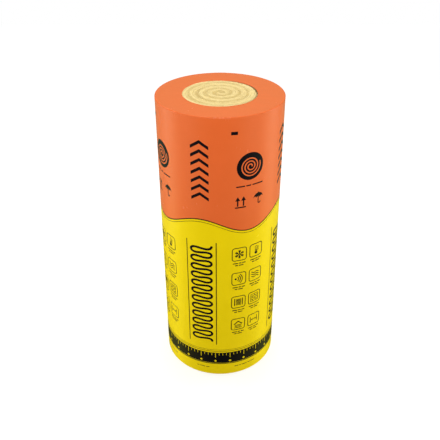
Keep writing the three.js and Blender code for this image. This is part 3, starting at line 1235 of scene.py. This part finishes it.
def wool_tone_and_shade_group():
    """Glass wool: pale layers going towards the deep colour with the painted shade fed in, with random
    bands, clumps of binder and fine fibre streaks.
    """
    group, nodes, given, out = node_group(
        "wool_tone_and_shade",
        {"Pale": WHITE, "Deep and shaded": NO_COLOUR, "Depth": 0.0},
        {"Colour": NO_COLOUR, "Height": 0.0},
    )
    band_tone, streak_tone, clump_tone = 0.34, 0.3, 0.24
    streak_height, fluff_height = 0.6, 0.4
    place = nodes.object_place()
    mat = nodes.layout("mat")
    streaks = nodes.noise(nodes.stretched(mat, 55.0, 520.0), detail=4.0, roughness=0.6)
    bands = nodes.noise(nodes.stretched(mat, 7.0, 190.0))
    clumps = nodes.noise(place, scale=70.0, detail=4.0, roughness=0.6)
    fluff = nodes.noise(place, scale=700.0, detail=3.0, roughness=0.6)
    darkening = nodes.remap(bands, low=0.4, high=0.66)
    darkening = nodes.math("MULTIPLY_ADD", darkening, band_tone, given["Depth"])
    darkening = nodes.math("MULTIPLY_ADD", nodes.remap(streaks, low=0.4, high=0.75), streak_tone, darkening)
    clumps = nodes.remap(clumps, low=0.4, high=0.7)
    darkening = nodes.math("MULTIPLY_ADD", clumps, clump_tone, darkening, clamp=True)
    nodes.feed(out["Colour"], nodes.mix(darkening, given["Pale"], given["Deep and shaded"]))
    fluff = nodes.math("MULTIPLY", fluff, fluff_height)
    nodes.feed(out["Height"], nodes.math("MULTIPLY_ADD", streaks, streak_height, fluff))
    return group


def wool_material(name, group, pale, deep_and_shaded, attribute, darkening):
    """Wool whose attribute, times the given share, says how far its colour goes from the pale towards the
    deep one: painted shade and random tone on the ends, random tone on the strands.
    """
    material, nodes, shader = new_material(name)
    tone = nodes.add("ShaderNodeGroup", node_tree=group)
    nodes.fill(tone, {"Pale": pale, "Deep and shaded": deep_and_shaded})
    nodes.feed(tone.inputs["Depth"], nodes.math("MULTIPLY", nodes.attribute(attribute), darkening))
    nodes.fill(shader, {
        "Base Color": tone.outputs["Colour"],
        "Roughness": 0.95,
        "Specular IOR Level": 0.2,
    })
    nodes.bump(shader, tone.outputs["Height"], strength=0.6, distance=0.0008)
    return material


# ---------------------------------------------------------------- studio

LENS, SENSOR_WIDTH = 48.59, 36.0  # millimetres
CAMERA_PLACE = (0.0, -2.1094, 1.9546)
CAMERA_DOWN = 31.74  # degrees below level

# What the film's gloss reflects, by azimuth from the front in degrees
PANEL_AZIMUTH, PANEL_HALF_WIDTH, PANEL_EDGE, PANEL_GLOW = 98.0, 16.0, 28.0, 1.21
FRONT_GLOW, SIDE_GLOW, BACK_GLOW = 0.0, 0.62, 0.35
FRONT_TO_SIDE, SIDE_TO_BACK = (5.0, 60.0), (95.0, 140.0)
SKY_GLOW = 0.64
WALL_TINT = (0.57, 1.0, 0.59, 1.0)
FLOOR_TINT = (0.72, 0.75, 0.11, 1.0)  # dimmer and warmer, where the gloss reflects from below
# Between which steepnesses, from -1 straight down to 1 straight up, these come in
WALL_TINT_FROM, ROOM_FADE, SKY_FADE = (-0.54, -0.5), (-0.34, -0.08), (0.05, 0.4)

# The floor, in metres
FLOOR_HALF, FLOOR_DROP = 6.0, 0.0002
FLOOR_GREY = 0.48
WHITENESS, WHITENESS_REACH = (0.6, 0.76), (0.3, 0.8)  # by the foot and far from it
UNDER_FOOT = (0.005, 0.013)  # light passes up through the floor to what is nearer than this

AMBIENT = 0.5
LAMP_AIM = 0.55  # of the roll's height
LAMPS = {
    # name: azimuth from the front and elevation in degrees, distance and size in metres, watts
    "front_lamp": (0.0, 41.0, 2.4, 1.0, 16.1),
    "front_left_lamp": (-60.0, 4.0, 2.6, 1.6, 8.0),
    "front_right_lamp": (60.0, 4.0, 2.6, 1.6, 8.0),
    "left_lamp": (-108.0, 4.0, 2.6, 1.6, 40.1),
    "right_lamp": (108.0, 4.0, 2.6, 1.6, 40.1),
    "top_lamp": (180.0, 68.0, 2.6, 1.6, 25.0),
}


def make_camera():
    data = bpy.data.cameras.new("camera")
    data.lens = LENS
    data.sensor_width = SENSOR_WIDTH
    camera = bpy.data.objects.new("camera", data)
    camera.location = CAMERA_PLACE
    camera.rotation_euler = (math.radians(90 - CAMERA_DOWN), 0, 0)
    bpy.context.scene.collection.objects.link(camera)
    bpy.context.scene.camera = camera


def make_floor():
    """A pale floor that looks white where the camera sees it unshaded, and can't be seen from below."""
    material, nodes, unused_shader = new_material("pale_floor")
    nodes.tree.nodes.remove(unused_shader)
    matt = nodes.add("ShaderNodeBsdfDiffuse")
    nodes.fill(matt, {"Color": (FLOOR_GREY, FLOOR_GREY, FLOOR_GREY, 1.0)})
    glow = nodes.add("ShaderNodeEmission")
    rays = nodes.add("ShaderNodeLightPath").outputs
    seen = nodes.math("ADD", rays["Is Camera Ray"], rays["Is Glossy Ray"])
    seen = nodes.math("ADD", seen, rays["Is Transmission Ray"], clamp=True)
    # Round the foot it glows less, so that the roll's shadow still shows there.
    from_axis = nodes.add("ShaderNodeVectorMath", operation="LENGTH")
    nodes.feed(from_axis.inputs[0], nodes.object_place())
    whiteness = nodes.remap(from_axis.outputs["Value"], *WHITENESS_REACH, *WHITENESS)
    nodes.feed(glow.inputs["Strength"], nodes.math("MULTIPLY", seen, whiteness))
    lit = nodes.add("ShaderNodeAddShader")
    nodes.fill(lit, {0: matt.outputs[0], 1: glow.outputs[0]})
    # Light from below reaches the foot, which would else be black against so near a floor.
    under_foot = nodes.remap(rays["Ray Length"], *UNDER_FOOT, 1.0, 0.0)
    under_foot = nodes.math("MULTIPLY", under_foot, nodes.math("SUBTRACT", 1.0, seen))
    one_sided = nodes.add("ShaderNodeMixShader")
    backfacing = nodes.add("ShaderNodeNewGeometry").outputs["Backfacing"]
    nodes.fill(one_sided, {
        0: nodes.math("MAXIMUM", backfacing, under_foot),
        1: lit.outputs[0],
        2: nodes.add("ShaderNodeBsdfTransparent").outputs[0],
    })
    nodes.feed(nodes.tree.nodes["Material Output"].inputs["Surface"], one_sided.outputs[0])
    half, z = FLOOR_HALF, -FLOOR_DROP
    corners = [(-half, -half, z), (half, -half, z), (half, half, z), (-half, half, z)]
    floor = make_mesh("floor", np.array(corners) / MM, [[0, 1, 2, 3]], (material,))
    floor.visible_glossy = False
    return floor


def make_world():
    """White behind the roll, even light, and for gloss two tall soft panels under a pale sky."""
    world = bpy.data.worlds.new("studio")
    bpy.context.scene.world = world
    world.use_nodes = True
    nodes = Nodes(world.node_tree)
    direction = nodes.add("ShaderNodeSeparateXYZ")
    nodes.feed(direction.inputs[0], nodes.add("ShaderNodeTexCoord").outputs["Generated"])
    steepness = direction.outputs["Z"]
    behind = nodes.math("MULTIPLY", direction.outputs["Y"], -1.0)
    azimuth = nodes.math("ABSOLUTE", nodes.math("ARCTAN2", direction.outputs["X"], behind))
    off_panel = nodes.math("ABSOLUTE", nodes.math("SUBTRACT", azimuth, math.radians(PANEL_AZIMUTH)))
    inside, outside = (math.radians(PANEL_HALF_WIDTH + side * PANEL_EDGE) for side in (-0.5, 0.5))
    room = nodes.remap(azimuth, *map(math.radians, FRONT_TO_SIDE), FRONT_GLOW, SIDE_GLOW)
    room = nodes.remap(azimuth, *map(math.radians, SIDE_TO_BACK), room, BACK_GLOW)
    shine = nodes.remap(off_panel, inside, outside, PANEL_GLOW, room)
    shine = nodes.math("MULTIPLY", shine, nodes.remap(steepness, *ROOM_FADE, 1.0, 0.0))
    shine = nodes.math("MAXIMUM", shine, nodes.remap(steepness, *SKY_FADE, 0.0, SKY_GLOW))
    rays = nodes.add("ShaderNodeLightPath").outputs
    lit = nodes.mix_numbers(rays["Is Glossy Ray"], AMBIENT, shine)
    seen = nodes.math("ADD", rays["Is Camera Ray"], rays["Is Transmission Ray"], clamp=True)
    strength = nodes.mix_numbers(seen, lit, 1.0)
    tint = nodes.mix(nodes.remap(steepness, *WALL_TINT_FROM), FLOOR_TINT, WALL_TINT)
    tint = nodes.mix(rays["Is Glossy Ray"], WHITE, tint)
    nodes.fill(world.node_tree.nodes["Background"], {"Color": tint, "Strength": strength})


def make_lamps():
    aim = Vector((0, 0, ROLL_HEIGHT * MM * LAMP_AIM))
    for name, (azimuth, elevation, distance, size, power) in LAMPS.items():
        data = bpy.data.lights.new(name, "AREA")
        data.shape = "SQUARE"
        data.size = size
        data.energy = power
        lamp = bpy.data.objects.new(name, data)
        a, e = math.radians(azimuth), math.radians(elevation)
        toward = Vector((math.sin(a) * math.cos(e), -math.cos(a) * math.cos(e), math.sin(e)))
        lamp.location = aim + toward * distance
        lamp.rotation_euler = toward.to_track_quat("Z", "Y").to_euler()
        lamp.visible_glossy = False
        bpy.context.scene.collection.objects.link(lamp)


# ---------------------------------------------------------------- the roll

def build_roll():
    finish, tone = film_finish_group(), wool_tone_and_shade_group()
    orange = film_material("orange_film", finish, ORANGE_INK, ORANGE_RUB_AND_HIGHLIGHT, ORANGE_SHINE)
    yellow = film_material("yellow_film", finish, YELLOW_INK, YELLOW_RUB_AND_HIGHLIGHT, YELLOW_SHINE)
    black = film_material(
        "black_ink", finish, BLACK_INK, BLACK_RUB_AND_HIGHLIGHT, BLACK_SHINE, BLACK_LEVEL,
        roughness=0.3, mottle=0.3)
    ends = wool_material("glass_wool_ends", tone, WOOL_PALE, WOOL_DEEP_AND_SHADED, "painted_shade_and_tone", 1.0)
    loose = wool_material("glass_wool_strands", tone, STRAND_PALE, WOOL_PALE, "shade", 0.8)
    grid = sleeve_grid()
    film, ink = printed_film(grid, orange, yellow), black_print(grid, black)
    wool, strands = wound_wool(ends), loose_strands(loose)
    slots = {film: "printed_film", ink: "printed_film", wool: "glass_wool", strands: "glass_wool"}
    for piece, slot in slots.items():
        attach(piece, "root")
    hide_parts("film_sleeve")
    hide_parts("wool_mat")


bpy.context.scene.view_settings.view_transform = "Standard"
make_camera()
make_world()
make_lamps()
make_floor()
build_roll()
